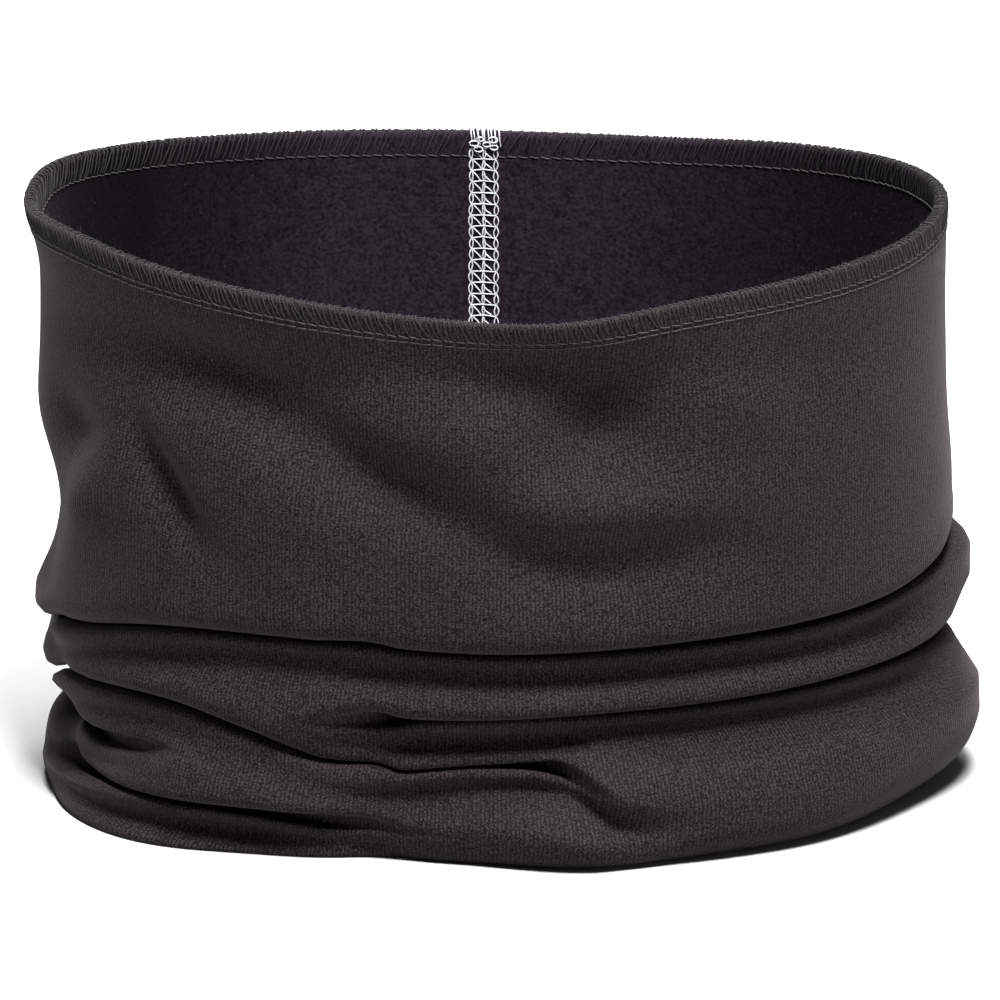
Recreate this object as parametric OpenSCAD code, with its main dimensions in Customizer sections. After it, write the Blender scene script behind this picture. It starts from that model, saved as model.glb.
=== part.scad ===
// Neck gaiter: a fleece-lined knit tube standing open, its lower half pushed down into folds and its
// bottom end turned in. +Z is up, the wearer's front faces -Y and the joining seam is at the back, +Y.
// An azimuth is 0 at the front, 90 on +X and 180 at the seam.

/* [Cloth tube] */
// Width of the rim, side to side
rim_w = 184.8; // [176:0.4:192]
// Depth of the rim, front to back
rim_d = 144; // [136:1:150]
// Thickness of the smooth outer knit
face_t = 0.9; // [0.6:0.1:1]
// Thickness of the brushed lining
lining_t = 1.05; // [0.8:0.05:1.1]
// Clearance between pieces that are sewn together
sewn_gap = 0.05; // [0.04:0.01:0.08]

/* [Folds] */
// Radius of the upper folds' lips
lip_r = 4; // [3.6:0.1:4.2]
// Radius of the cloth at the bottom of a groove
groove_r = 1.6; // [1.4:0.1:1.8]
// Straight cloth between a lip and its groove at a full fold
limb_l = 3; // [2:0.25:3]
// Turn of the cloth at a full fold, in degrees
full_turn = 110; // [90:1:110]
// Distance from the outer wall to the turned-in wall
turn_in = 16; // [15.5:0.5:18]
// Height of the turned-in bottom edge at the front
hem_h = 44; // [36:1:50]

/* [Stitching] */
// Width of the overlock on an edge
overlock_w = 4; // [3:0.25:4.25]
// Distance from an edge to its upper needle row
needle_at = 4.3; // [4.3:0.05:4.5]
// Distance between the two needle rows
needle_step = 1.2; // [1:0.1:1.3]
// Width of a needle row
needle_w = 0.4; // [0.3:0.05:0.5]
// Thickness of the thread that lies on the cloth
thread_t = 0.35; // [0.25:0.05:0.4]
// Width of the back seam
seam_w = 6.6; // [5:0.2:8]
// Thickness of the back seam's cover thread
seam_t = 0.5; // [0.3:0.1:0.6]
// Width of the tacks that lock the back seam's ends
tack_w = 7.4; // [6:0.2:9]

/* [Hidden] */

// The plan's centre, which brings the whole bounding box over the origin
centre = [-3.7, 0.65];
// Columns of the cloth round the tube, with one on the seam
columns = 44;
seam_column = columns / 2;
// Length at each end of the tube that is stitched
edge_zone = 6.5;
// Depth of the lining's inner face below the knit's outer face
cloth_t = face_t + sewn_gap + lining_t;
// The seam's thread keeps the cloth this far off the ground, over this many degrees each way
seam_lift = 1.4 * (thread_t + sewn_gap);
seam_lift_reach = 9;

// Height of the rim, as rows of [azimuth, height]
RIM = [
    [-90, 118.2], [-65, 120], [-45, 118], [-10, 113.3], [9, 111.4], [28, 114.8], [60, 117],
    [90, 118.5], [112, 117.6], [135, 115.2], [157, 112.6], [180, 112.4], [210, 114.4], [232, 117],
    [252, 119]
];

// The folds from the top one down. Each is [[lip, groove, limb], rows of [azimuth, height, turn, inset]].
// Turn is a share of the full turn, and 0 is where the fold has run out. Inset is how far the cloth is drawn
// in below the fold.
FOLDS = [
    [[lip_r, groove_r, limb_l], [
        [-90, 31.6, 0.95, 1.4], [-67, 37.5, 1, 2.7], [-45, 43, 1, 4.7], [-23, 44.3, 1, 6.1],
        [2, 42.7, 1, 6.8], [28, 43, 0.97, 6.8], [59, 44, 0.95, 5.4], [75, 47.4, 0.95, 3.4],
        [90, 51, 0.9, 1.4], [130, 48, 0.85, 2.7], [180, 43, 0.85, 2.7], [210, 36, 0.9, 2],
        [245, 31, 0.95, 1.4]]],
    [[lip_r, groove_r, limb_l], [
        [-90, 27, 0, 0], [-62, 33, 0, 0], [-40, 34, 0, 0], [-27, 29, 0, 0], [-16, 28, 0.6, 5.4],
        [-8, 29, 1, 8.1], [20, 30, 1, 9.5], [60, 30.4, 0.95, 7.4], [90, 30.4, 0.9, 2],
        [140, 29, 0.85, 3.4], [190, 27, 0.75, 2.7], [235, 26, 0.1, 0]]],
    [[lip_r * 0.9, groove_r, limb_l], [
        [-90, 20, 0.9, 2], [-70, 26, 1, 2.7], [-45, 28.2, 1, 3.4], [-30, 24.3, 1, 2.7],
        [-17, 18.5, 1, 4.1], [0, 19.6, 1, 8.1], [10, 19, 0.8, 9.5], [17, 14, 0.1, 5.4], [30, 13, 0, 0],
        [140, 13, 0, 0], [200, 14, 0.6, 2], [240, 16, 0.9, 2]]],
    [[lip_r * 0.7, groove_r * 0.9, limb_l * 0.7], [
        [-90, 7, 0.1, 0], [-65, 8.6, 0.9, 6.1], [-38, 9.2, 1, 7.4], [-17, 7.8, 0.7, 5.4],
        [-5, 6, 0.1, 0], [20, 6.5, 0, 0], [60, 8.6, 0, 0], [140, 8, 0, 0], [240, 7.5, 0, 0]]]
];
// The inset is deepest this far below a fold's middle, and fades over this height
inset_below = 5;
inset_reach = 3.8;

// Radius of the roll that the tube stands on, as rows of [azimuth, radius]
BASE_ROLL = [[-90, 4.6], [-60, 4.2], [-15, 3.5], [10, 5.5], [45, 7.5], [90, 7.5], [180, 6], [230, 5]];

// How far the turned-in edge stands above its height at the front, as rows of [azimuth, rise]
HEM_RISE = [[-90, -4], [0, 0], [90, -2], [180, 5]];

// Swells and dents of the wall, each [azimuth, height, half-width in degrees, half-height, outward, slope],
// where slope is how far the middle climbs for each degree of azimuth
SWELLS = [
    [-43, 3, 20, 14, 8.5, 0], [-21, 3, 9, 10, 4, 0], [14, 6, 13, 14, 8, 0], [40, 8, 22, 16, 6, 0],
    [90, 14, 28, 14, 6.5, 0], [95, 45, 25, 7, 5, 0], [180, 10, 50, 22, 4, 0], [-90, 16, 22, 8, -7, 0],
    [-90, 0, 20, 8, -4, 0], [-90, 27, 22, 6, -2, 0], [-90, 56, 24, 13, -4.5, 0],
    [-90, 88, 30, 20, -3.5, 0], [-10, 98.5, 55, 9, -5, 0], [-84, 16, 14, 3.5, -2, 0],
    [-35, 95, 18, 10, -2.2, -0.3], [70, 2, 20, 6, -2, 0], [-14, 79, 20, 8, -6.5, -0.72],
    [16, 61, 18, 7, -4, 0], [15, 88, 9, 9, -9.5, 0], [6, 100, 7, 8, -2.5, 0],
    [-44, 73.5, 7, 6.5, -4.5, -1.4], [-66, 80, 9, 7, -3.5, 0], [-60, 66, 7, 8, 2.5, 0.6],
    [-8, 95, 13, 8, 2, -0.4], [33, 93, 7, 7, 2.5, 0], [20, 73, 15, 5, 2, 0], [-90, 108, 22, 9, -1.8, 0],
    [-90, 50, 20, 11, -3, 0], [-90, 15.5, 15, 5, -4.5, 0], [-68, 2, 16, 9, 3, 0],
    [-45, -1, 24, 5, 2.6, 0], [-90, 22, 16, 3.5, 2.4, 0], [-90, 14.5, 16, 3.2, -3, 0],
    [-90, 65, 20, 9, -3, 0], [-90, 43, 20, 7, -2, 0], [-90, 30.5, 18, 3.5, -3.2, 0],
    [-20, 2, 26, 9, -4.5, 0], [20, 2, 12, 8, -1.5, 0], [90, 62, 30, 12, 1.2, 0],
    [90, 42, 26, 10, 1.6, 0], [90, 22, 22, 8, 1.2, 0], [74, 3, 20, 8, 0.4, 0]
];

function turned(a) = a < -90 ? turned(a + 360) : a >= 270 ? turned(a - 360) : a;
// Row i of a closed list whose first column is an azimuth, past either end too
function row_at(rows, i) =
    let (n = len(rows), k = (i + n) % n)
    concat([rows[k][0] + 360 * (i < 0 ? -1 : i >= n ? 1 : 0)], [for (j = [1 : len(rows[k]) - 1]) rows[k][j]]);
// Column k of such a list at an azimuth, on the smooth curve through its rows
function around(rows, k, azimuth) =
    let (
        a = turned(azimuth),
        i = max([for (j = [0 : len(rows) - 1]) if (rows[j][0] <= a) j]),
        p = [for (j = [-1 : 2]) row_at(rows, i + j)],
        w = p[2][0] - p[1][0],
        t = (a - p[1][0]) / w,
        m1 = (p[2][k] - p[0][k]) / (p[2][0] - p[0][0]) * w,
        m2 = (p[3][k] - p[1][k]) / (p[3][0] - p[1][0]) * w
    )
    (2 * t ^ 3 - 3 * t ^ 2 + 1) * p[1][k] + (t ^ 3 - 2 * t ^ 2 + t) * m1
    + (3 * t ^ 2 - 2 * t ^ 3) * p[2][k] + (t ^ 3 - t ^ 2) * m2;

// How far the wall stands out at an azimuth and height
function swell(azimuth, z) = sum([
    for (s = SWELLS)
        let (da = turned(azimuth - s[0] + 90) - 90, a = da > 180 ? da - 360 : da)
        s[4] * exp(-(a / s[2]) ^ 2 - ((z - s[1] - s[5] * a) / s[3]) ^ 2)
]) - sum([for (f = FOLDS) inset(f[1], azimuth, z)]);
// How far a fold with these rows draws the cloth in at an azimuth and height
function inset(rows, azimuth, z) =
    let (below = z - around(rows, 1, azimuth) + inset_below)
    max(0, around(rows, 3, azimuth)) * exp(-(below / inset_reach) ^ 2);
function sum(v, i = 0) = i >= len(v) ? 0 : v[i] + sum(v, i + 1);

// A fold at an azimuth: [height of its middle, turn, lip radius, groove radius, limb]
function fold_at(fold, azimuth) =
    let (share = max(0, around(fold[1], 2, azimuth)))
    [around(fold[1], 1, azimuth), share * full_turn, fold[0][0], fold[0][1], fold[0][2] * min(1, share) ^ 2];
function fold_height(f) = 2 * (f[2] + f[3]) * sin(f[1]) + 2 * f[4] * cos(f[1]);
// The fold's cloth as pieces of [length, slope at its start, slope at its end, steps]. A slope is 0 where
// the cloth hangs straight down and 90 where it runs inwards
function fold_pieces(f) =
    let (lip = f[1] * f[2] * PI / 180, groove = 2 * f[1] * f[3] * PI / 180)
    [
        [lip, 0, f[1], 2], [f[4], f[1], f[1], 1],
        [groove, f[1], -f[1], 2],
        [f[4], -f[1], -f[1], 1], [lip, -f[1], 0, 2]
    ];

// All the cloth of one column, from the top edge to the bottom edge
function column_pieces(azimuth) =
    let (
        rim = around(RIM, 1, azimuth),
        roll = around(BASE_ROLL, 1, azimuth),
        folds = [for (f = FOLDS) fold_at(f, azimuth)],
        last = len(folds) - 1,
        wall = [[edge_zone, 0, 0, 1], [rim - folds[0][0] - fold_height(folds[0]) / 2 - edge_zone, 0, 0, 4]],
        tiers = [
            for (i = [0 : last])
                let (
                    below = i < last ? folds[i + 1][0] + fold_height(folds[i + 1]) / 2 : roll,
                    drop = folds[i][0] - fold_height(folds[i]) / 2 - below
                )
                each concat(fold_pieces(folds[i]), [[max(0.05, drop), 0, 0, 1]])
        ],
        base = [[roll * PI / 2, 0, 90, 2], [turn_in - 2 * roll, 90, 90, 1], [roll * PI / 2, 90, 180, 2]],
        turned_in = hem_h + around(HEM_RISE, 1, azimuth) - roll - edge_zone
    )
    concat(wall, tiers, base, [[turned_in, 180, 180, 3], [edge_zone, 180, 180, 1]]);

// The pieces cut into single steps of [length, slope at its start, slope at its end]
function column_steps(pieces) = [
    for (p = pieces) for (i = [1 : p[3]])
        [p[0] / p[3], p[1] + (p[2] - p[1]) * (i - 1) / p[3], p[1] + (p[2] - p[1]) * i / p[3]]
];
// [distance inwards, height] covered by a step whose slope turns evenly
function step_move(s) = abs(s[2] - s[1]) < 0.001
    ? s[0] * [sin(s[1]), -cos(s[1])]
    : s[0] * 180 / PI / (s[2] - s[1]) * [cos(s[1]) - cos(s[2]), sin(s[1]) - sin(s[2])];
function advance(p, s) = let (m = step_move(s)) [p[0] + m[0], p[1] + m[1], s[2]];
// A column's rows as [distance inwards, height, slope], with its lowest row on the ground or the seam
function column_rows(azimuth) =
    let (
        steps = column_steps(column_pieces(azimuth)),
        rim = around(RIM, 1, azimuth),
        rows = [
            for (i = 0, p = [0, rim, 0]; i <= len(steps);
                p = i < len(steps) ? advance(p, steps[i]) : p, i = i + 1) p
        ],
        low = min([for (p = rows) p[1]]),
        base = seam_lift * max(0, 1 - abs(azimuth - 180) / seam_lift_reach)
    )
    [for (p = rows) [p[0], base + (rim - base) * (p[1] - low) / (rim - low), p[2]]];

AZIMUTHS = [for (j = [0 : columns - 1]) j * 360 / columns];
CLOTH = [for (a = AZIMUTHS) column_rows(a)];
last_row = len(CLOTH[0]) - 1;

// The point at a depth below the knit's outer face, on one row of one column
function cloth_point(j, i, depth) =
    let (
        a = AZIMUTHS[j], p = CLOTH[j][i],
        z = p[1] + depth * sin(p[2]),
        normal = [rim_d * sin(a), -rim_w * cos(a)],
        out = swell(a, z) - p[0] - depth * cos(p[2]),
        plan = centre + [rim_w / 2 * sin(a), -rim_d / 2 * cos(a)] + out * normal / norm(normal)
    )
    [plan[0], plan[1], z];
// The same at a distance from the top edge, or from the bottom edge
function edge_point(j, top, from_edge, depth) =
    let (
        at_edge = cloth_point(j, top ? 0 : last_row, depth),
        next = cloth_point(j, top ? 1 : last_row - 1, depth)
    )
    at_edge + (next - at_edge) * from_edge / edge_zone;

// A skin over closed sections of equal length, closed into a ring or capped at both ends. A capped section
// runs along one side and back along the other, and its cap joins each point to the one it faces. The
// sections' points from flip onwards take the other diagonal, so that facing skins are cut alike
module loft(sections, ring = true, flip = 1000) {
    m = len(sections[0]);
    n = len(sections);
    function at(j, k) = (j % n) * m + k % m;
    polyhedron(
        points = [for (s = sections) each s],
        faces = concat(
            [
                for (j = [0 : ring ? n - 1 : n - 2]) for (k = [0 : m - 1])
                    each k < flip
                        ? [[at(j, k), at(j + 1, k), at(j + 1, k + 1)], [at(j, k), at(j + 1, k + 1), at(j, k + 1)]]
                        : [[at(j, k), at(j + 1, k), at(j, k + 1)], [at(j + 1, k), at(j + 1, k + 1), at(j, k + 1)]]
            ],
            ring ? [] : [for (k = [0 : m / 2 - 2]) [k, k + 1, m - 2 - k, m - 1 - k]],
            ring ? [] : [for (k = [0 : m / 2 - 2]) [for (c = [m - 1 - k, m - 2 - k, k + 1, k]) (n - 1) * m + c]]
        ),
        convexity = 12
    );
}

// One layer of the cloth, between two depths
module layer(outer, inner) {
    loft(
        [
            for (j = [0 : columns - 1]) concat(
                [for (i = [0 : last_row]) cloth_point(j, i, outer)],
                [for (i = [last_row : -1 : 0]) cloth_point(j, i, inner)]
            )
        ],
        flip = last_row
    );
}

function reversed(v) = [for (i = [len(v) - 1 : -1 : 0]) v[i]];
// A section that runs along one side and back along the other
function across(near, far) = concat(near, reversed(far));
// A thread outline round an edge, from a list of [distance from the edge, depth]
function edge_section(j, top, outline) =
    [for (p = top ? outline : reversed(outline)) edge_point(j, top, p[0], p[1])];

// Outline of thread wrapped over an edge, starting clear of the cloth
function wrap_outline(clear, thick, outer_leg, inner_leg) =
    let (o = clear + thick, under = cloth_t + clear, far = cloth_t + o)
    across(
        [[outer_leg, -clear], [-clear, -clear], [-clear, under], [inner_leg, under]],
        [[outer_leg, -o], [-o, -o], [-o, far], [inner_leg, far]]
    );
module edge_overlock(top) {
    outline = wrap_outline(sewn_gap, thread_t, overlock_w, overlock_w);
    loft([for (j = [0 : columns - 1]) edge_section(j, top, outline)], flip = len(outline) / 2 - 1);
}

module needle_row(top, from_edge) {
    o = sewn_gap + thread_t;
    outline = [
        [from_edge, -o], [from_edge + needle_w, -o],
        [from_edge + needle_w, -sewn_gap], [from_edge, -sewn_gap]
    ];
    loft([for (j = [0 : columns - 1]) edge_section(j, top, outline)]);
}

// A point beside the seam column, at a share of the way to the next column
function beside(left, mid, right, share) = share < 0 ? mid + (left - mid) * -share : mid + (right - mid) * share;
column_w = norm(cloth_point(seam_column, 1, 0) - cloth_point(seam_column + 1, 1, 0));
// Points across the seam at one row, from its -share side to its share side
function seam_row(i, depth, share) = [
    for (s = [-share, 0, share])
        beside(cloth_point(seam_column - 1, i, depth), cloth_point(seam_column, i, depth),
            cloth_point(seam_column + 1, i, depth), s)
];
function seam_edge_row(top, from_edge, depth, share) = [
    for (s = [-share, 0, share])
        beside(edge_point(seam_column - 1, top, from_edge, depth), edge_point(seam_column, top, from_edge, depth),
            edge_point(seam_column + 1, top, from_edge, depth), s)
];

// A strip that follows the back seam, between two depths and two distances from the edges
module seam_strip(outer, inner, from_edge) {
    share = seam_w / 2 / column_w;
    loft(
        concat(
            [across(seam_edge_row(true, from_edge, inner, share), seam_edge_row(true, from_edge, outer, share))],
            [for (i = [1 : last_row - 1]) across(seam_row(i, inner, share), seam_row(i, outer, share))],
            [across(seam_edge_row(false, from_edge, inner, share), seam_edge_row(false, from_edge, outer, share))]
        ),
        ring = false
    );
}

// Close stitches that wrap an end of the back seam over its edge
module seam_tack(top) {
    share = tack_w / 2 / column_w;
    outline = wrap_outline(2 * sewn_gap + thread_t, seam_t, overlock_w - 0.4, overlock_w + 0.1);
    function section(s) = [
        for (p = top ? outline : reversed(outline))
            beside(edge_point(seam_column - 1, top, p[0], p[1]), edge_point(seam_column, top, p[0], p[1]),
                edge_point(seam_column + 1, top, p[0], p[1]), s)
    ];
    loft([section(-share), section(0), section(share)], ring = false);
}

module face_knit() { color("#2c2a2b") layer(0, face_t); }
module fleece_lining() { color("#221f26") layer(face_t + sewn_gap, cloth_t); }
module top_edge_overlock() { color("#39363a") edge_overlock(true); }
module top_needle_row_upper() { color("#4a474a") needle_row(true, needle_at); }
module top_needle_row_lower() { color("#4a474a") needle_row(true, needle_at + needle_step); }
module back_seam_ladder() {
    color("#b9b8bd") seam_strip(cloth_t + sewn_gap, cloth_t + sewn_gap + seam_t, overlock_w + 0.2);
}
module back_seam_face_stitches() { color("#4a474a") seam_strip(-sewn_gap - thread_t, -sewn_gap, edge_zone - 0.2); }
module back_seam_top_tack() { color("#b9b8bd") seam_tack(true); }
module back_seam_bottom_tack() { color("#b9b8bd") seam_tack(false); }
module bottom_edge_overlock() { color("#39363a") edge_overlock(false); }
module bottom_needle_row_upper() { color("#4a474a") needle_row(false, needle_at + needle_step); }
module bottom_needle_row_lower() { color("#4a474a") needle_row(false, needle_at); }

face_knit();
fleece_lining();
top_edge_overlock();
top_needle_row_upper();
top_needle_row_lower();
back_seam_ladder();
back_seam_face_stitches();
back_seam_top_tack();
back_seam_bottom_tack();
bottom_edge_overlock();
bottom_needle_row_upper();
bottom_needle_row_lower();
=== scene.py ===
"""A fleece-lined neck gaiter, standing open on a pale floor with its lower half pushed down into folds."""

import math
import random

import bmesh
import bpy
import numpy as np
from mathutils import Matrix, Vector


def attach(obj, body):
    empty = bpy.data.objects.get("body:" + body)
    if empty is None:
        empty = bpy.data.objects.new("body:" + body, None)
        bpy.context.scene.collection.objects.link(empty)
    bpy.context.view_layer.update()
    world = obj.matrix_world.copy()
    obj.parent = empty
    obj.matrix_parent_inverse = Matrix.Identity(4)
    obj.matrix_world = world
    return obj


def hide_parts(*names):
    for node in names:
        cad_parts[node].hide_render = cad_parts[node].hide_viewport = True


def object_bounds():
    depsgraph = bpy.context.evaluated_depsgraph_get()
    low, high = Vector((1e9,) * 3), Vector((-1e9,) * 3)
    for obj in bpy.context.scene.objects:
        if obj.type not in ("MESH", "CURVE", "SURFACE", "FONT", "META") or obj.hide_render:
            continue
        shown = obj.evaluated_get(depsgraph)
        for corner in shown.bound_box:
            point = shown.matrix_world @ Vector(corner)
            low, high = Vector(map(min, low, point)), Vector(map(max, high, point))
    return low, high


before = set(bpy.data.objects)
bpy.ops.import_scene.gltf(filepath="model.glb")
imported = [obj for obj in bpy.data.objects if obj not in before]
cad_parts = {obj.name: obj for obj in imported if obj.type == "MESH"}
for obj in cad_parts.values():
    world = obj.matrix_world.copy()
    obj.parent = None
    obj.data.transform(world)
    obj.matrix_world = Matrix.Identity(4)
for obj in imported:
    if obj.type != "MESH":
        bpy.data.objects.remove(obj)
cad_low, cad_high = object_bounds()
MM = 0.001

# ---------------------------------------------------------------- the camera
VIEW_ELEVATION = math.radians(16)
CAMERA_DISTANCE = 8.0
FRAME_WIDTH = 0.2
AIM_HEIGHT = 0.0556
# Where the camera aims, off the middle of the tube's box
AIM_SHIFT = (-0.0004, 0.0006)


def add_object(name, data):
    """Put a mesh, a lamp or a camera into the scene."""
    added = bpy.data.objects.new(name, data)
    bpy.context.collection.objects.link(added)
    return added


def add_camera():
    """A long lens in front of the tube, looking a little down into it."""
    data = bpy.data.cameras.new("camera")
    data.sensor_width = 36
    data.lens = data.sensor_width * CAMERA_DISTANCE / FRAME_WIDTH
    camera = add_object("camera", data)
    middle = (cad_low + cad_high) / 2
    aim = Vector((middle.x + AIM_SHIFT[0], middle.y + AIM_SHIFT[1], AIM_HEIGHT))
    back = Vector((0, -math.cos(VIEW_ELEVATION), math.sin(VIEW_ELEVATION)))
    camera.location = aim + back * CAMERA_DISTANCE
    camera.rotation_euler = (-back).to_track_quat("-Z", "Y").to_euler()
    bpy.context.scene.camera = camera


add_camera()

# ---------------------------------------------------------------- the cloth's measures, in millimetres
RIM_W = 184.8
RIM_D = 144.0
FACE_T = 0.9
LINING_T = 1.05
SEWN_GAP = 0.05
CLOTH_T = FACE_T + SEWN_GAP + LINING_T
LIP_R = 4.0
GROOVE_R = 1.6
LIMB_L = 3.0
FULL_TURN = 110.0
TURN_IN = 16.0
HEM_H = 44.0
EDGE_ZONE = 6.5
SEAM_LIFT = 0.56
SEAM_LIFT_REACH = 9.0
CENTRE = (-3.7, 0.65)

# Height of the rim, as rows of [azimuth, height]. An azimuth is 0 at the front, 90 on +X, 180 at the seam
RIM = [
    [-90, 118.2], [-65, 120], [-45, 118], [-10, 113.3], [9, 111.4], [28, 114.8], [60, 117],
    [90, 118.5], [112, 117.6], [135, 115.2], [157, 112.6], [180, 112.4], [210, 114.4], [232, 117],
    [252, 119],
]

# The folds from the top one down: (lip radius, groove radius, limb), then rows of [azimuth, height, turn,
# inset], where turn is a share of the full turn and inset is how far the cloth is drawn in below the fold
FOLDS = [
    ((LIP_R, GROOVE_R, LIMB_L), [
        [-90, 31.6, 0.95, 1.4], [-67, 37.5, 1, 2.7], [-45, 43, 1, 4.7], [-23, 44.3, 1, 6.1],
        [2, 42.7, 1, 6.8], [28, 43, 0.97, 6.8], [59, 44, 0.95, 5.4], [75, 47.4, 0.95, 3.4],
        [90, 51, 0.9, 1.4], [130, 48, 0.85, 2.7], [180, 43, 0.85, 2.7], [210, 36, 0.9, 2],
        [245, 31, 0.95, 1.4]]),
    ((LIP_R, GROOVE_R, LIMB_L), [
        [-90, 27, 0, 0], [-62, 33, 0, 0], [-40, 34, 0, 0], [-27, 29, 0, 0], [-16, 28, 0.6, 5.4],
        [-8, 29, 1, 8.1], [20, 30, 1, 9.5], [60, 30.4, 0.95, 7.4], [90, 30.4, 0.9, 2],
        [140, 29, 0.85, 3.4], [190, 27, 0.75, 2.7], [235, 26, 0.1, 0]]),
    ((LIP_R * 0.9, GROOVE_R, LIMB_L), [
        [-90, 20, 0.9, 2], [-70, 26, 1, 2.7], [-45, 28.2, 1, 3.4], [-30, 24.3, 1, 2.7], [-17, 18.5, 1, 4.1],
        [0, 19.6, 1, 8.1], [10, 19, 0.8, 9.5], [17, 14, 0.1, 5.4], [30, 13, 0, 0], [140, 13, 0, 0],
        [200, 14, 0.6, 2], [240, 16, 0.9, 2]]),
    ((LIP_R * 0.75, GROOVE_R * 0.9, LIMB_L * 0.7), [
        [-90, 12.5, 0.8, 2], [-75, 15.5, 0.9, 4.1], [-58, 17, 0.8, 5.4], [-46, 18, 0.6, 2.7], [-36, 18, 0, 0],
        [-17, 11, 0, 0], [0, 9, 0, 0], [17, 9, 0, 0], [30, 11, 0, 0], [140, 10.5, 0, 0], [230, 9.5, 0, 0],
        [250, 11, 0.2, 0]]),
    ((LIP_R * 0.7, GROOVE_R * 0.9, LIMB_L * 0.7), [
        [-90, 7, 0.1, 0], [-65, 8.6, 0.9, 6.1], [-38, 9.2, 1, 7.4], [-17, 7.8, 0.7, 5.4], [-5, 6, 0.1, 0],
        [20, 6.5, 0, 0], [60, 8.6, 0, 0], [140, 8, 0, 0], [240, 7.5, 0, 0]]),
]
# The inset is deepest this far below a fold's middle, and fades over this height
INSET_BELOW = 5.0
INSET_REACH = 3.8

# Radius of the roll that the tube stands on, and the rise of its turned-in edge
BASE_ROLL = [[-90, 4.6], [-60, 4.2], [-15, 3.5], [10, 5.5], [45, 7.5], [90, 7.5], [180, 6], [230, 5]]
HEM_RISE = [[-90, -4], [0, 0], [90, -2], [180, 5]]

# Swells and dents of the wall: azimuth, height, half-width in degrees, half-height, outward, and slope,
# which is how far the middle climbs for each degree of azimuth
SWELLS = [
    [-43, 3, 20, 14, 8.5, 0], [-21, 3, 9, 10, 4, 0], [14, 6, 13, 14, 8, 0], [40, 8, 22, 16, 6, 0],
    [90, 14, 28, 14, 6.5, 0], [95, 45, 25, 7, 5, 0], [180, 10, 50, 22, 4, 0],
    [-90, 16, 22, 8, -7, 0], [-90, 0, 20, 8, -4, 0], [-90, 27, 22, 6, -2, 0],
    [-90, 56, 24, 13, -4.5, 0], [-90, 88, 30, 20, -3.5, 0],
    [-10, 98.5, 55, 9, -5, 0], [-84, 16, 14, 3.5, -2, 0], [-35, 95, 18, 10, -2.2, -0.3],
    [70, 2, 20, 6, -2, 0],
    [-14, 79, 20, 8, -6.5, -0.72], [16, 61, 18, 7, -4, 0], [15, 88, 9, 9, -9.5, 0], [6, 100, 7, 8, -2.5, 0],
    [-44, 73.5, 7, 6.5, -4.5, -1.4], [-66, 80, 9, 7, -3.5, 0], [-60, 66, 7, 8, 2.5, 0.6],
    [-8, 95, 13, 8, 2, -0.4], [33, 93, 7, 7, 2.5, 0], [20, 73, 15, 5, 2, 0],
    [-90, 108, 22, 9, -1.8, 0], [-90, 50, 20, 11, -3, 0], [-90, 15.5, 15, 5, -4.5, 0], [-68, 2, 16, 9, 3, 0],
    [-45, -1, 24, 5, 2.6, 0], [-90, 22, 16, 3.5, 2.4, 0], [-90, 14.5, 16, 3.2, -3, 0],
    [-90, 65, 20, 9, -3, 0], [-90, 43, 20, 7, -2, 0], [-90, 30.5, 18, 3.5, -3.2, 0],
    [-20, 2, 26, 9, -4.5, 0], [20, 2, 12, 8, -1.5, 0], [90, 62, 30, 12, 1.2, 0], [90, 42, 26, 10, 1.6, 0],
    [90, 22, 22, 8, 1.2, 0], [74, 3, 20, 8, 0.4, 0],
]

# Steps of cloth in the parts of a column
EDGE_STEPS = 5
WALL_STEPS = 34
LIP_STEPS = 4
GROOVE_STEPS = 6
TIER_STEPS = 2
ROLL_STEPS = 5
HEM_STEPS = 6
COLUMNS = 320


def around(rows, k, azimuth):
    """Column k of a closed list at the azimuths, on the smooth curve through its rows."""
    x = np.array([r[0] for r in rows], float)
    v = np.array([r[k] for r in rows], float)
    x = np.concatenate([x[-2:] - 360, x, x[:2] + 360])
    v = np.concatenate([v[-2:], v, v[:2]])
    a = (np.asarray(azimuth, float) + 90) % 360 - 90
    i = np.clip(np.searchsorted(x, a, side="right") - 1, 1, len(x) - 3)
    w = x[i + 1] - x[i]
    t = (a - x[i]) / w
    m1 = (v[i + 1] - v[i - 1]) / (x[i + 1] - x[i - 1]) * w
    m2 = (v[i + 2] - v[i]) / (x[i + 2] - x[i]) * w
    start = (2 * t**3 - 3 * t**2 + 1) * v[i] + (t**3 - 2 * t**2 + t) * m1
    return start + (3 * t**2 - 2 * t**3) * v[i + 1] + (t**3 - t**2) * m2


def swell(azimuth, z):
    """How far the wall stands out at the azimuths and heights."""
    out = np.zeros(np.broadcast(azimuth, z).shape)
    for middle, height, half_w, half_h, outward, slope in SWELLS:
        a = (azimuth - middle + 180) % 360 - 180
        out = out + outward * np.exp(-((a / half_w) ** 2) - ((z - height - slope * a) / half_h) ** 2)
    for _, rows in FOLDS:
        below = z - around(rows, 1, azimuth) + INSET_BELOW
        out = out - np.maximum(0, around(rows, 3, azimuth)) * np.exp(-((below / INSET_REACH) ** 2))
    return out


def fold_at(fold, azimuth):
    """One fold at the azimuths: its height, turn, lip and groove radii, limb, and half its height."""
    (lip, groove, limb), rows = fold
    share = np.maximum(0, around(rows, 2, azimuth))
    turn = np.radians(share * FULL_TURN)
    limb = limb * np.minimum(1, share) ** 2
    half = (lip + groove) * np.sin(turn) + limb * np.cos(turn)
    return around(rows, 1, azimuth), turn, lip, groove, limb, half


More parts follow.
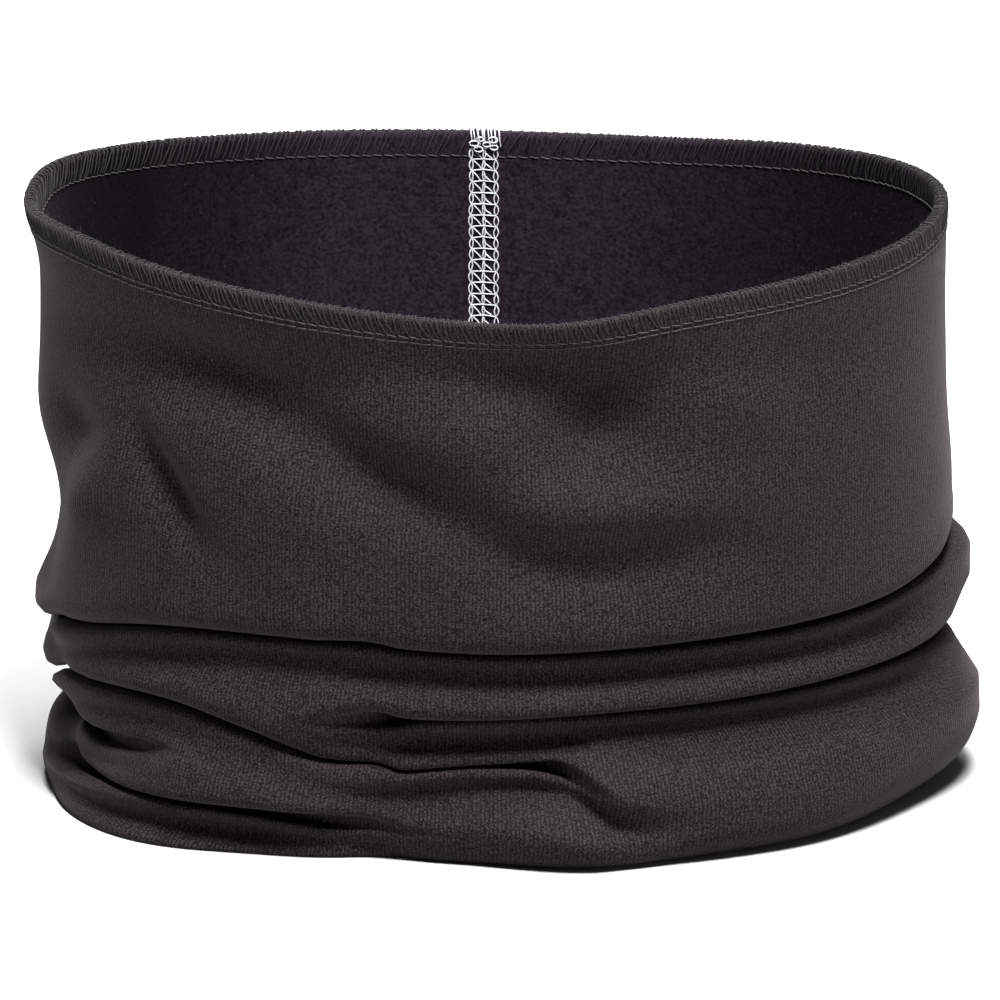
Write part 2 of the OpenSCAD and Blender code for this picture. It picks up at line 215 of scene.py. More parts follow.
def column_pieces(azimuth):
    """The cloth of each column as pieces of (length, slope at its start, slope at its end, steps)."""
    zero = np.zeros_like(azimuth)
    right = zero + math.pi / 2
    rim = around(RIM, 1, azimuth)
    roll = around(BASE_ROLL, 1, azimuth)
    folds = [fold_at(f, azimuth) for f in FOLDS]
    pieces = [
        (zero + EDGE_ZONE, zero, zero, EDGE_STEPS),
        (rim - folds[0][0] - folds[0][5] - EDGE_ZONE, zero, zero, WALL_STEPS),
    ]
    for i, (height, turn, lip, groove, limb, half) in enumerate(folds):
        below = folds[i + 1][0] + folds[i + 1][5] if i + 1 < len(folds) else roll
        pieces += [
            (turn * lip, zero, turn, LIP_STEPS),
            (limb, turn, turn, 1),
            (2 * turn * groove, turn, -turn, GROOVE_STEPS),
            (limb, -turn, -turn, 1),
            (turn * lip, -turn, zero, LIP_STEPS),
            (np.maximum(0.05, height - half - below), zero, zero, TIER_STEPS),
        ]
    turned_in = HEM_H + around(HEM_RISE, 1, azimuth) - roll - EDGE_ZONE
    pieces += [
        (roll * math.pi / 2, zero, right, ROLL_STEPS),
        (TURN_IN - 2 * roll, right, right, 2),
        (roll * math.pi / 2, right, 2 * right, ROLL_STEPS),
        (turned_in, 2 * right, 2 * right, HEM_STEPS),
        (zero + EDGE_ZONE, 2 * right, 2 * right, EDGE_STEPS),
    ]
    return pieces, rim


def columns_at(azimuth):
    """For each azimuth the rows (distance inwards, height, slope, length along the cloth)."""
    azimuth = np.asarray(azimuth, float)
    pieces, rim = column_pieces(azimuth)
    zero = np.zeros_like(azimuth)
    inwards, height, slope, along = [zero], [rim], [zero], [zero]
    for length, start, end, steps in pieces:
        step = length / steps
        for i in range(steps):
            a = start + (end - start) * i / steps
            b = start + (end - start) * (i + 1) / steps
            even = np.abs(b - a) < 1e-5
            bend = np.where(even, 1, b - a)
            inwards.append(inwards[-1] + step * np.where(even, np.sin(a), (np.cos(a) - np.cos(b)) / bend))
            height.append(height[-1] + step * np.where(even, -np.cos(a), (np.sin(a) - np.sin(b)) / bend))
            slope.append(b)
            along.append(along[-1] + step)
    inwards, height, slope, along = (np.array(v) for v in (inwards, height, slope, along))
    low = height.min(axis=0)
    off_seam = np.abs((azimuth % 360) - 180)
    base = SEAM_LIFT * np.maximum(0, 1 - off_seam / SEAM_LIFT_REACH)
    height = base + (rim - base) * (height - low) / (rim - low)
    return inwards, height, slope, along


def placed(azimuth, inwards, height, slope, depth):
    """Points in metres at a depth below the knit's outer face."""
    a = np.radians(azimuth)
    z = height + depth * np.sin(slope)
    out = swell(azimuth, z) - inwards - depth * np.cos(slope)
    nx, ny = RIM_D * np.sin(a), -RIM_W * np.cos(a)
    size = np.hypot(nx, ny)
    x = CENTRE[0] + RIM_W / 2 * np.sin(a) + out * nx / size
    y = CENTRE[1] - RIM_D / 2 * np.cos(a) + out * ny / size
    return np.stack(np.broadcast_arrays(x, y, z), -1) * MM


def girth_table(steps=3600):
    """The azimuths and the distance round the rim, both counted from the back seam."""
    a = np.radians(180 + np.linspace(0, 360, steps + 1))
    x, y = RIM_W / 2 * np.sin(a), -RIM_D / 2 * np.cos(a)
    return np.degrees(a), np.concatenate([[0], np.cumsum(np.hypot(np.diff(x), np.diff(y)))])


GIRTH_AZIMUTH, GIRTH_LENGTH = girth_table()
GIRTH = GIRTH_LENGTH[-1]


def cloth_mesh(name, outer, inner):
    """One layer as a closed skin: down its outer face from the top edge, and back up its inner face."""
    azimuth = 180 + np.arange(COLUMNS + 1) * 360 / COLUMNS
    inwards, height, slope, along = columns_at(azimuth)
    rows = len(along)
    bm = bmesh.new()
    bmesh.ops.create_grid(bm, x_segments=COLUMNS, y_segments=2 * rows, size=0.5)
    mesh = bpy.data.meshes.new(name)
    bm.to_mesh(mesh)
    bm.free()
    flat = np.zeros(len(mesh.vertices) * 3)
    mesh.vertices.foreach_get("co", flat)
    flat = flat.reshape(-1, 3) + 0.5
    column = np.rint(flat[:, 0] * COLUMNS).astype(int)
    ring = np.rint(flat[:, 1] * 2 * rows).astype(int)
    section = ring % (2 * rows)
    is_outer = section < rows
    row = np.where(is_outer, section, 2 * rows - 1 - section)
    depth = np.where(is_outer, outer, inner)
    points = placed(azimuth[column], inwards[row, column], height[row, column], slope[row, column], depth)
    mesh.vertices.foreach_set("co", points.ravel())
    uv = np.stack([np.interp(azimuth, GIRTH_AZIMUTH, GIRTH_LENGTH)[column], along[row, column]], -1) * MM
    corner = np.zeros(len(mesh.loops), int)
    mesh.loops.foreach_get("vertex_index", corner)
    layer = mesh.uv_layers.new(name="cloth")
    layer.data.foreach_set("uv", uv[corner].ravel())
    bm = bmesh.new()
    bm.from_mesh(mesh)
    bmesh.ops.remove_doubles(bm, verts=bm.verts, dist=1e-7)
    bmesh.ops.recalc_face_normals(bm, faces=bm.faces)
    for face in bm.faces:
        face.smooth = True
    bm.to_mesh(mesh)
    bm.free()
    return add_object(name, mesh)


face_knit = cloth_mesh("knit_face", 0, FACE_T)
fleece = cloth_mesh("fleece_inside", FACE_T + SEWN_GAP, CLOTH_T)

# ---------------------------------------------------------------- places on the cloth
MM_PER_DEGREE = math.radians(RIM_W / 2)


def on_cloth(azimuth, along, depth, from_bottom=False):
    """Points in metres at distances along the cloth from its top edge, or from its bottom edge."""
    azimuth, along, depth = np.broadcast_arrays(*(np.asarray(v, float) for v in (azimuth, along, depth)))
    shape = azimuth.shape
    azimuth, along, depth = azimuth.ravel(), along.ravel(), depth.ravel()
    inwards, height, slope, length = columns_at(azimuth)
    if from_bottom:
        along = length[-1] - along
    row = np.clip((length <= along).sum(axis=0) - 1, 0, len(length) - 2)
    pick = np.arange(len(azimuth))
    step = length[row + 1, pick] - length[row, pick]
    share = (along - length[row, pick]) / step
    mixed = [v[row, pick] * (1 - share) + v[row + 1, pick] * share for v in (inwards, height, slope)]
    return placed(azimuth, *mixed, depth).reshape(shape + (3,))


def girth_azimuth(girth):
    """The azimuth at a distance round the rim from the back seam."""
    return np.interp(np.asarray(girth, float) % GIRTH, GIRTH_LENGTH, GIRTH_AZIMUTH)


def mesh_of_curve(name, curve):
    """The mesh of a drawn curve, which takes the curve's place."""
    drawn = add_object(name + "_curve", curve)
    mesh = bpy.data.meshes.new_from_object(drawn.evaluated_get(bpy.context.evaluated_depsgraph_get()))
    bpy.data.objects.remove(drawn)
    mesh.name = name
    return mesh


def strands(name, paths, radius):
    """One mesh of round threads, one along each path of points; radius is one value or one for each path."""
    radius = np.broadcast_to(radius, len(paths))
    curve = bpy.data.curves.new(name, "CURVE")
    curve.dimensions = "3D"
    curve.bevel_depth = MM
    curve.bevel_resolution = 1
    curve.use_fill_caps = True
    for path, r in zip(paths, radius):
        spline = curve.splines.new("POLY")
        spline.points.add(len(path) - 1)
        spline.points.foreach_set("co", np.c_[path, np.ones(len(path))].ravel())
        spline.points.foreach_set("radius", np.full(len(path), r))
        spline.use_smooth = True
    mesh = mesh_of_curve(name, curve)
    for face in mesh.polygons:
        face.use_smooth = True
    return add_object(name, mesh)


# ---------------------------------------------------------------- the overlocked edges
STITCHES = 225
PITCH = GIRTH / STITCHES
THREAD_R = 0.15
UPPER_ROW = 4.1
LOWER_ROW = 5.25
INNER_ROW = 4.9
# The looper strands of a stitch, and how far they stray from one another
STRANDS = 2
STRAND_SHIFT = 0.22
STRAND_LEAN = (0.9, 2.4)
LAST_STRAND_LEAN = 0.75
STRAND_LIFT = (-0.12, 0.05)
STRAND_REACH = 0.3
STRAND_SIZE = (0.65, 0.9)
# Points in each stitch of the link that joins the loopers along the edge
LINK_POINTS = 6


def overlock(name, from_bottom, seed):
    """Looper threads wrapped over the raw edge from the needle row outside to the one inside."""
    draw = random.Random(seed)
    # (distance from the edge, depth, lean) down the outside, over the edge and down the inside
    outside = [(UPPER_ROW, 0.15, 1.1), (3.5, -0.16, 0.95), (2.3, -0.26, 0.6), (1.1, -0.26, 0.25)]
    over = [(0.2, -0.2, 0), (-0.25, 0.35, -0.1), (-0.32, 1, -0.15), (-0.25, 1.65, -0.1), (0.2, 2.2, 0)]
    inside = [(1.1, 2.3, 0.3), (2.3, 2.32, 0.6), (3.6, 2.25, 0.95), (INNER_ROW, 1.85, 1.2)]
    shape = np.array(outside + over + inside)
    outward = np.where(shape[:, 1] < 1, -1, 1)
    on_edge = np.abs(shape[:, 0]) < 1
    girths, edges, depths, radii = [], [], [], []
    for i in range(STITCHES):
        for k in range(STRANDS):
            shift = draw.uniform(-STRAND_SHIFT, STRAND_SHIFT)
            lean = draw.uniform(*STRAND_LEAN) * (LAST_STRAND_LEAN if k == STRANDS - 1 else 1)
            lift = draw.uniform(*STRAND_LIFT)
            reach = draw.uniform(-STRAND_REACH, STRAND_REACH)
            girths.append((i + (k + 0.5) / STRANDS) * PITCH + shift + lean * (shape[:, 2] - 0.5))
            edges.append(shape[:, 0] + np.where(on_edge, 0, reach))
            depths.append(shape[:, 1] + outward * lift)
            radii.append(THREAD_R * draw.uniform(*STRAND_SIZE))
    points = on_cloth(girth_azimuth(girths), edges, depths, from_bottom)
    paths = list(points)
    # the loopers' link along the very edge
    turns = np.arange(STITCHES * LINK_POINTS + 1) / LINK_POINTS
    wave = np.sin(2 * np.pi * turns)
    link = on_cloth(girth_azimuth(turns * PITCH), -0.06 + 0.05 * wave, 1 + 0.5 * wave, from_bottom)
    return strands(name, paths + [link], radii + [THREAD_R * 0.8])


def needle_row(name, from_edge, outward, from_bottom, seed, tilt=0.0):
    """A row of running stitches that dips into the cloth between one stitch and the next."""
    draw = random.Random(seed)
    face = 0 if outward < 0 else CLOTH_T
    # (place in the stitch, height over the cloth) of a stitch's points
    shape = np.array([
        (0.06, -0.25), (0.12, 0.04), (0.3, 0.13), (0.5, 0.15), (0.72, 0.13), (0.88, 0.04), (0.94, -0.25)])
    girths, edges, depths = [], [], []
    for i in range(STITCHES):
        slant = tilt + draw.uniform(-0.12, 0.12)
        side = draw.uniform(-0.06, 0.06)
        girths.append((i + shape[:, 0]) * PITCH)
        edges.append(from_edge + side + slant * (shape[:, 0] - 0.5))
        depths.append(face + outward * shape[:, 1])
    return strands(name, list(on_cloth(girth_azimuth(girths), edges, depths, from_bottom)), THREAD_R * 0.95)


def edge_threads(end, from_bottom, seed):
    """All the thread of one end of the tube."""
    return [
        overlock(f"{end}_overlock_threads", from_bottom, seed),
        needle_row(f"{end}_needle_stitches_by_overlock", UPPER_ROW, -1, from_bottom, seed + 1, 0.3),
        needle_row(f"{end}_needle_stitches_on_knit", LOWER_ROW, -1, from_bottom, seed + 2),
        needle_row(f"{end}_needle_stitches_on_fleece", INNER_ROW, 1, from_bottom, seed + 3, -0.3),
    ]


top_threads = edge_threads("top", False, 11)
bottom_threads = edge_threads("bottom", True, 31)

# ---------------------------------------------------------------- the back seam
SEAM_PITCH = 2.35
SEAM_R = 0.15
SEAM_FROM = 3.2
SEAM_LENGTH = float(columns_at([180])[3][-1, 0])
SEAM_COUNT = int((SEAM_LENGTH - 2 * SEAM_FROM) / SEAM_PITCH)
SEAM_STEP = (SEAM_LENGTH - 2 * SEAM_FROM) / SEAM_COUNT
# Places of the seam's rows across it: the chains on the lining, and the needle rows on the knit
LEFT_CHAIN, MID_CHAIN, RIGHT_CHAIN = -2.6, -0.05, 2.45
LEFT_ROW, MID_ROW, RIGHT_ROW = -2.6, 0, 2.5
COVER_REACH = 2.5
CHAIN_SWAY = 0.14
# Points in the longest of the seam's short threads
RUNG_POINTS = 11
# The tacks at the seam's ends
WRAPS = 9
TACK_HALF_W = 2.8
CURL_POINTS = 22


def beside_seam(x, along, depth, from_bottom=False):
    """Points beside the seam: x is to the right for someone who faces the lining."""
    return on_cloth(180 - np.asarray(x, float) / MM_PER_DEGREE, along, depth, from_bottom)


def bowed(x0, t0, x1, t1, bow, lift, steps=8):
    """A thread from one place to another as rows of (x, t, height), bowed to the right by bow."""
    s = np.linspace(0, 1, steps + 1)
    arch = np.sin(np.pi * s)
    return np.c_[x0 + (x1 - x0) * s + bow * arch, t0 + (t1 - t0) * s, 0.12 + lift * arch]


def rung(x0, x1, rise, lift):
    """A thread straight across, arched a little towards the top edge."""
    s = np.linspace(0, 1, RUNG_POINTS)
    arch = np.sin(np.pi * s)
    return np.c_[x0 + (x1 - x0) * s, -rise * arch, 0.2 + lift * arch]


def seam_ladder():
    """Three chains joined by rungs and slanting threads, over the whole length of the lining."""
    draw = random.Random(5)
    xs, alongs, depths, radii = [], [], [], []
    sway = [draw.uniform(-CHAIN_SWAY, CHAIN_SWAY) for _ in range(3 * (SEAM_COUNT + 2))]

    def chains(i):
        """The places of the three chains at the start of stitch i."""
        left_sway, mid_sway, right_sway = sway[i], sway[SEAM_COUNT + i], sway[2 * SEAM_COUNT + i]
        return LEFT_CHAIN + left_sway, MID_CHAIN + mid_sway, RIGHT_CHAIN + right_sway

    for i in range(SEAM_COUNT):
        left, mid, right = chains(i)
        left_next, mid_next, right_next = chains(i + 1)
        drawn = [
            bowed(left, 0, left_next, 1.06, -0.44, 0.16),
            bowed(left, -0.04, left_next, 1, 0.3, 0.1),
            bowed(mid, 0, mid_next, 1.06, -0.16, 0.2),
            bowed(mid, -0.04, mid_next, 1, 0.3, 0.14),
            bowed(right, 0, right_next, 1.06, -0.4, 0.1),
            bowed(right, -0.04, right_next, 1, 0.5, 0.16),
            rung(left + 0.1, right - 0.1, draw.uniform(0.02, 0.14), 0.1),
            bowed(left + 0.25, 0.04, mid - 0.4, 0.96, draw.uniform(0.15, 0.32), 0.22),
            bowed(mid + 0.1, 0.34, mid + 1.65, draw.uniform(0.8, 0.97), draw.uniform(-0.1, 0.2), 0.2),
        ]
        for path in drawn:
            path = np.concatenate([path, path[-1:].repeat(RUNG_POINTS - len(path), axis=0)])
            xs.append(path[:, 0] + draw.uniform(-0.04, 0.04))
            alongs.append(SEAM_FROM + (i + path[:, 1]) * SEAM_STEP)
            depths.append(CLOTH_T + path[:, 2])
            radii.append(SEAM_R * draw.uniform(0.88, 1.08))
    points = beside_seam(xs, alongs, depths)
    paths = [p[np.r_[True, np.linalg.norm(np.diff(p, axis=0), axis=1) > 1e-7]] for p in points]
    return strands("back_seam_threads", paths, radii)


def seam_outside():
    """Needle threads of the seam on the knit: three rows of running stitches with a cover thread."""
    draw = random.Random(6)
    stitch = np.array([(0.06, -0.2), (0.14, 0.05), (0.35, 0.13), (0.65, 0.13), (0.86, 0.05), (0.94, -0.2)])
    across = np.array([(0, 0.02), (0.2, 0.1), (0.4, 0.14), (0.6, 0.14), (0.8, 0.1), (1, 0.02)])
    xs, alongs, depths = [], [], []
    for i in range(SEAM_COUNT):
        for x in (LEFT_ROW, MID_ROW, RIGHT_ROW):
            xs.append(np.full(len(stitch), x + draw.uniform(-0.06, 0.06)))
            alongs.append(SEAM_FROM + (i + stitch[:, 0]) * SEAM_STEP)
            depths.append(-stitch[:, 1])
        for x, way in ((LEFT_ROW, 1), (RIGHT_ROW, -1)):
            xs.append(x + way * COVER_REACH * across[:, 0])
            alongs.append(SEAM_FROM + (i + 0.1 + 0.8 * across[:, 0]) * SEAM_STEP)
            depths.append(-across[:, 1])
    return strands("back_seam_knit_side_threads", list(beside_seam(xs, alongs, depths)), SEAM_R * 0.95)


def seam_tack(name, from_bottom, seed):
    """A lumpy bunch of stitches that locks one end of the seam over the edge."""
    draw = random.Random(seed)
    paths, radii = [], []
    # wrapped over the edge: (distance from the edge, depth)
    wrap = np.array([
        (2.3, -0.2), (1.6, -0.65), (0.7, -0.7), (-0.4, -0.4), (-0.7, 1), (-0.4, 2.35), (0.7, 2.6), (1.6, 2.5),
        (2.4, 2.25)])
    for i in range(WRAPS):
        x = -TACK_HALF_W + 2 * TACK_HALF_W * i / (WRAPS - 1)
        reach = draw.uniform(0.8, 1.35)
        xs = x + np.linspace(-0.5, 0.7, len(wrap)) * draw.uniform(0.4, 1.3) + draw.uniform(-0.2, 0.2)
        from_edge = wrap[:, 0] * reach + draw.uniform(-0.25, 0.25) * (np.abs(wrap[:, 0]) > 1)
        lift = draw.uniform(-0.05, 0.25) * np.where(wrap[:, 1] < 1, -1, 1)
        paths.append(beside_seam(xs, from_edge, wrap[:, 1] + lift, from_bottom))
        radii.append(SEAM_R * draw.uniform(0.8, 1.1))
    # small curls that lie on the wraps: (across, distance from the edge, size)
    curls = [
        (-2, 2.1, 0.95), (-0.7, 1.2, 0.7), (0.6, 2.3, 0.8), (1.9, 1.3, 0.95), (2.1, 2.9, 0.8),
        (-1.1, 3.3, 0.9)]
    for middle, along, size in curls:
        turn = np.linspace(0, 3.4 * math.pi, CURL_POINTS) + draw.uniform(0, 6)
        rise = 0.5 + 0.3 * np.linspace(0, 1, CURL_POINTS) + 0.1 * np.sin(2 * turn)
        xs = middle + size * np.cos(turn)
        paths.append(beside_seam(xs, along + 0.6 * size * np.sin(turn), CLOTH_T + rise, from_bottom))
        radii.append(SEAM_R)
    return strands(name, paths, radii)


ladder = seam_ladder()
outside_rows = seam_outside()
top_tack = seam_tack("top_tack_threads", False, 7)
bottom_tack = seam_tack("bottom_tack_threads", True, 8)


# ---------------------------------------------------------------- the brushed nap
RIM_FIBRES = 9000
LINING_FIBRES = 12000
FIBRE_R = 0.022
FIBRE_TAPER = (1, 0.8, 0.15)
# How far down the lining the loose fibres stand
NAP_REACH = 74


def nap(name, count, seed, place):
    """Fine tapered fibres that stand off the cloth; place gives (azimuth, along, depth, out, swing)."""
    draw = random.Random(seed)
    roots = np.array([place(draw) for _ in range(count)])
    azimuth, along, depth, out, swing = roots.T
    lean = np.array([(draw.gauss(0, 1), draw.gauss(0, 1)) for _ in range(count)]) * swing[:, None]
    s = np.array([0, 0.5, 1])[:, None]
    curl = s**1.5
    points = on_cloth(azimuth + lean[:, 0] * curl / MM_PER_DEGREE, along + lean[:, 1] * curl, depth + out * s)
    curve = bpy.data.curves.new(name, "CURVE")
    curve.dimensions = "3D"
    curve.bevel_depth = FIBRE_R * MM
    curve.bevel_resolution = 0
    for i in range(count):
        spline = curve.splines.new("POLY")
        spline.points.add(2)
        spline.points.foreach_set("co", np.c_[points[:, i], np.ones(3)].ravel())
        spline.points.foreach_set("radius", FIBRE_TAPER)
    return add_object(name, mesh_of_curve(name, curve))


def on_lip(draw):
    """Over the top edge, from the lining's side to the knit's."""
    depth = draw.uniform(0.2, 2.2)
    along = draw.uniform(-0.1, 0.5)
    return draw.uniform(-90, 270), along, depth, draw.uniform(-0.3, 0.5), draw.uniform(0.25, 0.6)


def on_lining(draw):
    """On the lining, from just under the top edge down."""
    return draw.uniform(-90, 270), draw.uniform(0.5, NAP_REACH), CLOTH_T - 0.05, draw.uniform(0.15, 0.45), 0.3


lip_nap = nap("nap_on_the_rim", RIM_FIBRES, 21, on_lip)
lining_nap = nap("nap_on_the_fleece", LINING_FIBRES, 22, on_lining)

# ---------------------------------------------------------------- materials


class Nodes:
    """A material's node tree, with short ways to add and join nodes."""

    def __init__(self, name, roughness, sheen, sheen_tint, specular=0.3):
        self.material = bpy.data.materials.new(name)
        self.material.use_nodes = True
        self.tree = self.material.node_tree
        self.shader = self.tree.nodes["Principled BSDF"]
        self.shader.inputs["Roughness"].default_value = roughness
        self.shader.inputs["Specular IOR Level"].default_value = specular
        self.shader.inputs["Sheen Weight"].default_value = sheen
        self.shader.inputs["Sheen Roughness"].default_value = 0.45
        self.shader.inputs["Sheen Tint"].default_value = (*sheen_tint, 1)

    def add(self, kind, inputs=None, **settings):
        """Add a node with these inputs and settings."""
        node = self.tree.nodes.new(kind)
        for key, value in settings.items():
            setattr(node, key, value)
        for key, value in (inputs or {}).items():
            self.put(node.inputs[key], value)
        return node

    def put(self, socket, value):
        """Join another node to a socket, or set the socket to a value."""
        if isinstance(value, bpy.types.NodeSocket):
            self.tree.links.new(value, socket)
        else:
            socket.default_value = value

    def math(self, operation, a, b=0.0, c=0.0):
        """One sum on up to three values."""
        node = self.add("ShaderNodeMath", {0: a, 1: b, 2: c}, operation=operation)
        return node.outputs[0]

    def mix(self, share, a, b):
        """A colour part of the way from one to another."""
        node = self.add("ShaderNodeMix", {0: share, 6: (*a, 1) if isinstance(a, tuple) else a,
                                          7: (*b, 1) if isinstance(b, tuple) else b}, data_type="RGBA")
        return node.outputs[2]

    def noise(self, vector, scale, detail=2.0, roughness=0.5):
        """Soft noise, between 0 and 1."""
        node = self.add("ShaderNodeTexNoise", {"Vector": vector, "Scale": scale, "Detail": detail,
                                               "Roughness": roughness})
        return node.outputs["Fac"]

    def stretch(self, value, low, high, to_low=0.0, to_high=1.0):
        """A value spread from one range to another, and held to it."""
        node = self.add("ShaderNodeMapRange", {"Value": value, "From Min": low, "From Max": high,
                                               "To Min": to_low, "To Max": to_high})
        return node.outputs[0]

    def bump(self, height, distance, strength=1.0, normal=None):
        """Small relief, over any that is there already."""
        inputs = {"Height": height, "Distance": distance, "Strength": strength}
        if normal is not None:
            inputs["Normal"] = normal
        return self.add("ShaderNodeBump", inputs).outputs[0]

    def object_place(self):
        """The place on the object, in metres."""
        return self.add("ShaderNodeTexCoord").outputs["Object"]

    def cloth_place(self):
        """The place on the flat cloth, in metres."""
        return self.add("ShaderNodeUVMap", uv_map="cloth").outputs[0]

    def finish(self, colour, normal=None):
        """Give the shader its colour and relief."""
        self.put(self.shader.inputs["Base Color"], colour)
        if normal is not None:
            self.put(self.shader.inputs["Normal"], normal)
        return self.material


WALE = 0.84 * MM
COURSE = 0.6 * MM


def knit_material():
    """Smooth charcoal jersey: upright wales of small V stitches, with fine lighter flecks."""
    n = Nodes("charcoal_knit", 0.8, 0.08, (0.62, 0.52, 0.53), 0.1)
    uv = n.cloth_place()
    place = n.object_place()
    apart = n.add("ShaderNodeSeparateXYZ", {0: uv})
    waver = n.math("MULTIPLY", n.math("SUBTRACT", n.noise(uv, 60, 1), 0.5), 1.2 * WALE)
    shiver = n.math("MULTIPLY_ADD", n.math("SUBTRACT", n.noise(uv, 700, 1), 0.5), 0.8 * WALE, waver)
    wale = n.math("DIVIDE", n.math("ADD", apart.outputs[0], shiver), WALE)
    across = n.math("ABSOLUTE", n.math("SUBTRACT", n.math("FRACT", wale), 0.5))
    # the two legs of a V fill the wale's middle, and a dark channel parts the wales
    ridge = n.stretch(across, 0.46, 0.2)
    course = n.math("ADD", n.math("DIVIDE", apart.outputs[1], COURSE), n.math("MULTIPLY", across, 1.3))
    loop = n.math("MULTIPLY_ADD", n.math("SINE", n.math("MULTIPLY", course, 2 * math.pi)), 0.5, 0.5)
    stitch = n.math("MULTIPLY", ridge, n.math("MULTIPLY_ADD", loop, 0.6, 0.4))
    speck = n.noise(place, 2300, 2, 0.6)
    fuzz = n.math("MULTIPLY_ADD", stitch, 0.85, 0.18)
    light = n.math("MULTIPLY", fuzz, n.stretch(speck, 0.4, 0.6, 0, 1.3))
    patch = n.stretch(n.noise(place, 38, 3, 0.55), 0.3, 0.7)
    low = n.mix(patch, (0.0014, 0.001, 0.0011), (0.002, 0.0015, 0.0016))
    high = n.mix(patch, (0.0235, 0.0186, 0.0194), (0.0296, 0.0236, 0.0245))
    colour = n.mix(light, low, high)
    normal = n.bump(stitch, 0.12 * MM, 0.5)
    normal = n.bump(speck, 0.08 * MM, 0.6, normal)
    return n.finish(colour, normal)


def fleece_material():
    """Brushed lining: short dense nap with soft mottling, slightly bluer than the knit."""
    n = Nodes("brushed_fleece", 0.95, 0.02, (0.5, 0.44, 0.54), 0.04)
    place = n.object_place()
    tufts = n.noise(place, 1300, 3, 0.6)
    clumps = n.noise(place, 420, 2, 0.55)
    sweep = n.noise(place, 45, 2, 0.5)
    pile = n.math("MULTIPLY_ADD", clumps, 0.25, n.math("MULTIPLY", tufts, 0.8))
    low = n.mix(n.stretch(sweep, 0.3, 0.7), (0.0042, 0.0031, 0.0044), (0.0056, 0.0042, 0.0059))
    colour = n.mix(n.stretch(pile, 0.38, 0.72), low, (0.0215, 0.016, 0.0225))
    # painted shade: the lining is painted darker towards both ends of the oval, away from the light
    side = n.add("ShaderNodeSeparateXYZ", {0: place}).outputs[0]
    side = n.math("MULTIPLY_ADD", n.math("SUBTRACT", n.noise(place, 30, 2, 0.5), 0.5), 0.03, side)
    painted_lit_share = n.math("MULTIPLY", n.stretch(side, -0.07, -0.034, 0.15, 1), n.stretch(side, 0.02, 0.075, 1, 0.25))
    # mix the painted shade's dark colour into the lining's own colour
    colour = n.mix(painted_lit_share, (0.0005, 0.0004, 0.0005), colour)
    normal = n.bump(clumps, 0.25 * MM, 0.5)
    normal = n.bump(tufts, 0.22 * MM, 0.8, normal)
    return n.finish(colour, normal)


def thread_material(name, low, high, roughness, sheen, specular=0.35):
    """Spun thread: two shades along its twist, with fine fibres."""
    n = Nodes(name, roughness, sheen, (0.8, 0.78, 0.8), specular)
    place = n.object_place()
    fibre = n.noise(place, 5200, 2, 0.6)
    run = n.noise(place, 700, 2, 0.5)
    along = n.math("MULTIPLY", n.stretch(run, 0.35, 0.65), 0.4)
    shade = n.math("MULTIPLY_ADD", n.stretch(fibre, 0.3, 0.7), 0.6, along)
    return n.finish(n.mix(shade, low, high), n.bump(fibre, 0.05 * MM, 0.7))


def fibre_material(name, low, high):
    """Loose fibres of the nap."""
    n = Nodes(name, 0.9, 0.5, (0.7, 0.66, 0.72), 0.1)
    return n.finish(n.mix(n.stretch(n.noise(n.object_place(), 400, 1), 0.3, 0.7), low, high))


knit = knit_material()
brushed = fleece_material()
overlock_thread = thread_material(
    "overlock_thread", (0.003, 0.0025, 0.0028), (0.0135, 0.0116, 0.0126), 0.8, 0.03)
needle_thread = thread_material("needle_thread", (0.013, 0.0115, 0.012), (0.036, 0.0325, 0.034), 0.65, 0.06)
seam_thread = thread_material("seam_thread", (0.33, 0.33, 0.35), (0.6, 0.6, 0.625), 0.6, 0.15)
rim_fibre = fibre_material("rim_fibres", (0.005, 0.0044, 0.005), (0.03, 0.0272, 0.03))
lining_fibre = fibre_material("lining_fibres", (0.006, 0.005, 0.0065), (0.03, 0.0265, 0.031))


def dress(piece, material):
    """Give a piece its material and its body."""
    piece.data.materials.clear()
    piece.data.materials.append(material)
    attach(piece, "root")


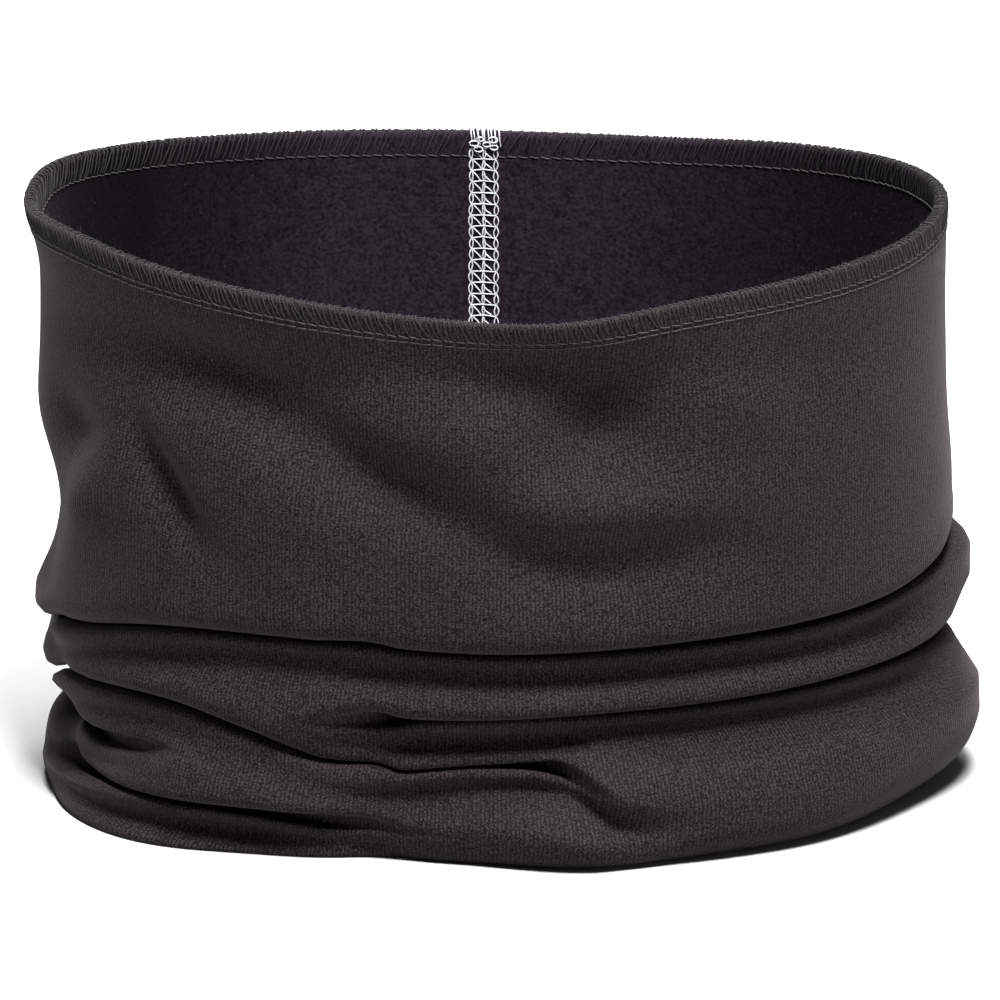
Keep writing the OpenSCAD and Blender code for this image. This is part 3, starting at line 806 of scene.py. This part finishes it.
dress(face_knit, knit)
dress(fleece, brushed)
dress(lip_nap, rim_fibre)
dress(lining_nap, lining_fibre)
for row in (*top_threads[:1], *bottom_threads[:1]):
    dress(row, overlock_thread)
for row in (*top_threads[1:], *bottom_threads[1:], outside_rows):
    dress(row, needle_thread)
for row in (ladder, top_tack, bottom_tack):
    dress(row, seam_thread)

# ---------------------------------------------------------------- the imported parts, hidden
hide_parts("face_knit")
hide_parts("fleece_lining")
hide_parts("top_edge_overlock")
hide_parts("top_needle_row_upper")
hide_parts("top_needle_row_lower")
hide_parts("bottom_edge_overlock")
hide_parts("bottom_needle_row_lower")
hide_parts("bottom_needle_row_upper")
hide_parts("back_seam_ladder")
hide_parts("back_seam_face_stitches")
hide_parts("back_seam_top_tack")
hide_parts("back_seam_bottom_tack")

cloth_length = float(columns_at(180 + np.arange(COLUMNS) * 360 / COLUMNS)[3][-1].mean())

# ---------------------------------------------------------------- floor and light


def pale_floor():
    """A wide plain floor under the tube."""
    bm = bmesh.new()
    bmesh.ops.create_grid(bm, x_segments=1, y_segments=1, size=6)
    mesh = bpy.data.meshes.new("floor")
    bm.to_mesh(mesh)
    bm.free()
    floor = add_object("floor", mesh)
    paint = Nodes("pale_floor", 0.9, 0, (1, 1, 1), 0.1)
    floor.data.materials.append(paint.finish((0.45, 0.45, 0.45, 1)))


def soft_light(name, place, aim, size, watts):
    """A wide lamp at a place, turned towards its aim."""
    data = bpy.data.lights.new(name, "AREA")
    data.shape = "RECTANGLE"
    data.size, data.size_y = size
    data.energy = watts
    light = add_object(name, data)
    light.location = place
    light.rotation_euler = (Vector(aim) - Vector(place)).to_track_quat("-Z", "Y").to_euler()


pale_floor()
TUBE = (0, 0, 0.06)
soft_light("overhead", (0, 0.1, 1.3), TUBE, (0.6, 0.6), 26)
soft_light("front", (0.17, -0.6, 1.3), TUBE, (0.4, 0.35), 58)
soft_light("behind", (0, 0.8, 1.0), (0, 0.5, 0), (0.6, 0.4), 14)
soft_light("right_side", (1.2, -0.1, 0.12), TUBE, (0.4, 0.2), 1.2)

world = bpy.data.worlds.new("studio")
world.use_nodes = True
world.node_tree.nodes["Background"].inputs["Color"].default_value = (1, 1, 1, 1)
world.node_tree.nodes["Background"].inputs["Strength"].default_value = 0.06
bpy.context.scene.world = world
bpy.context.scene.view_settings.view_transform = "Standard"
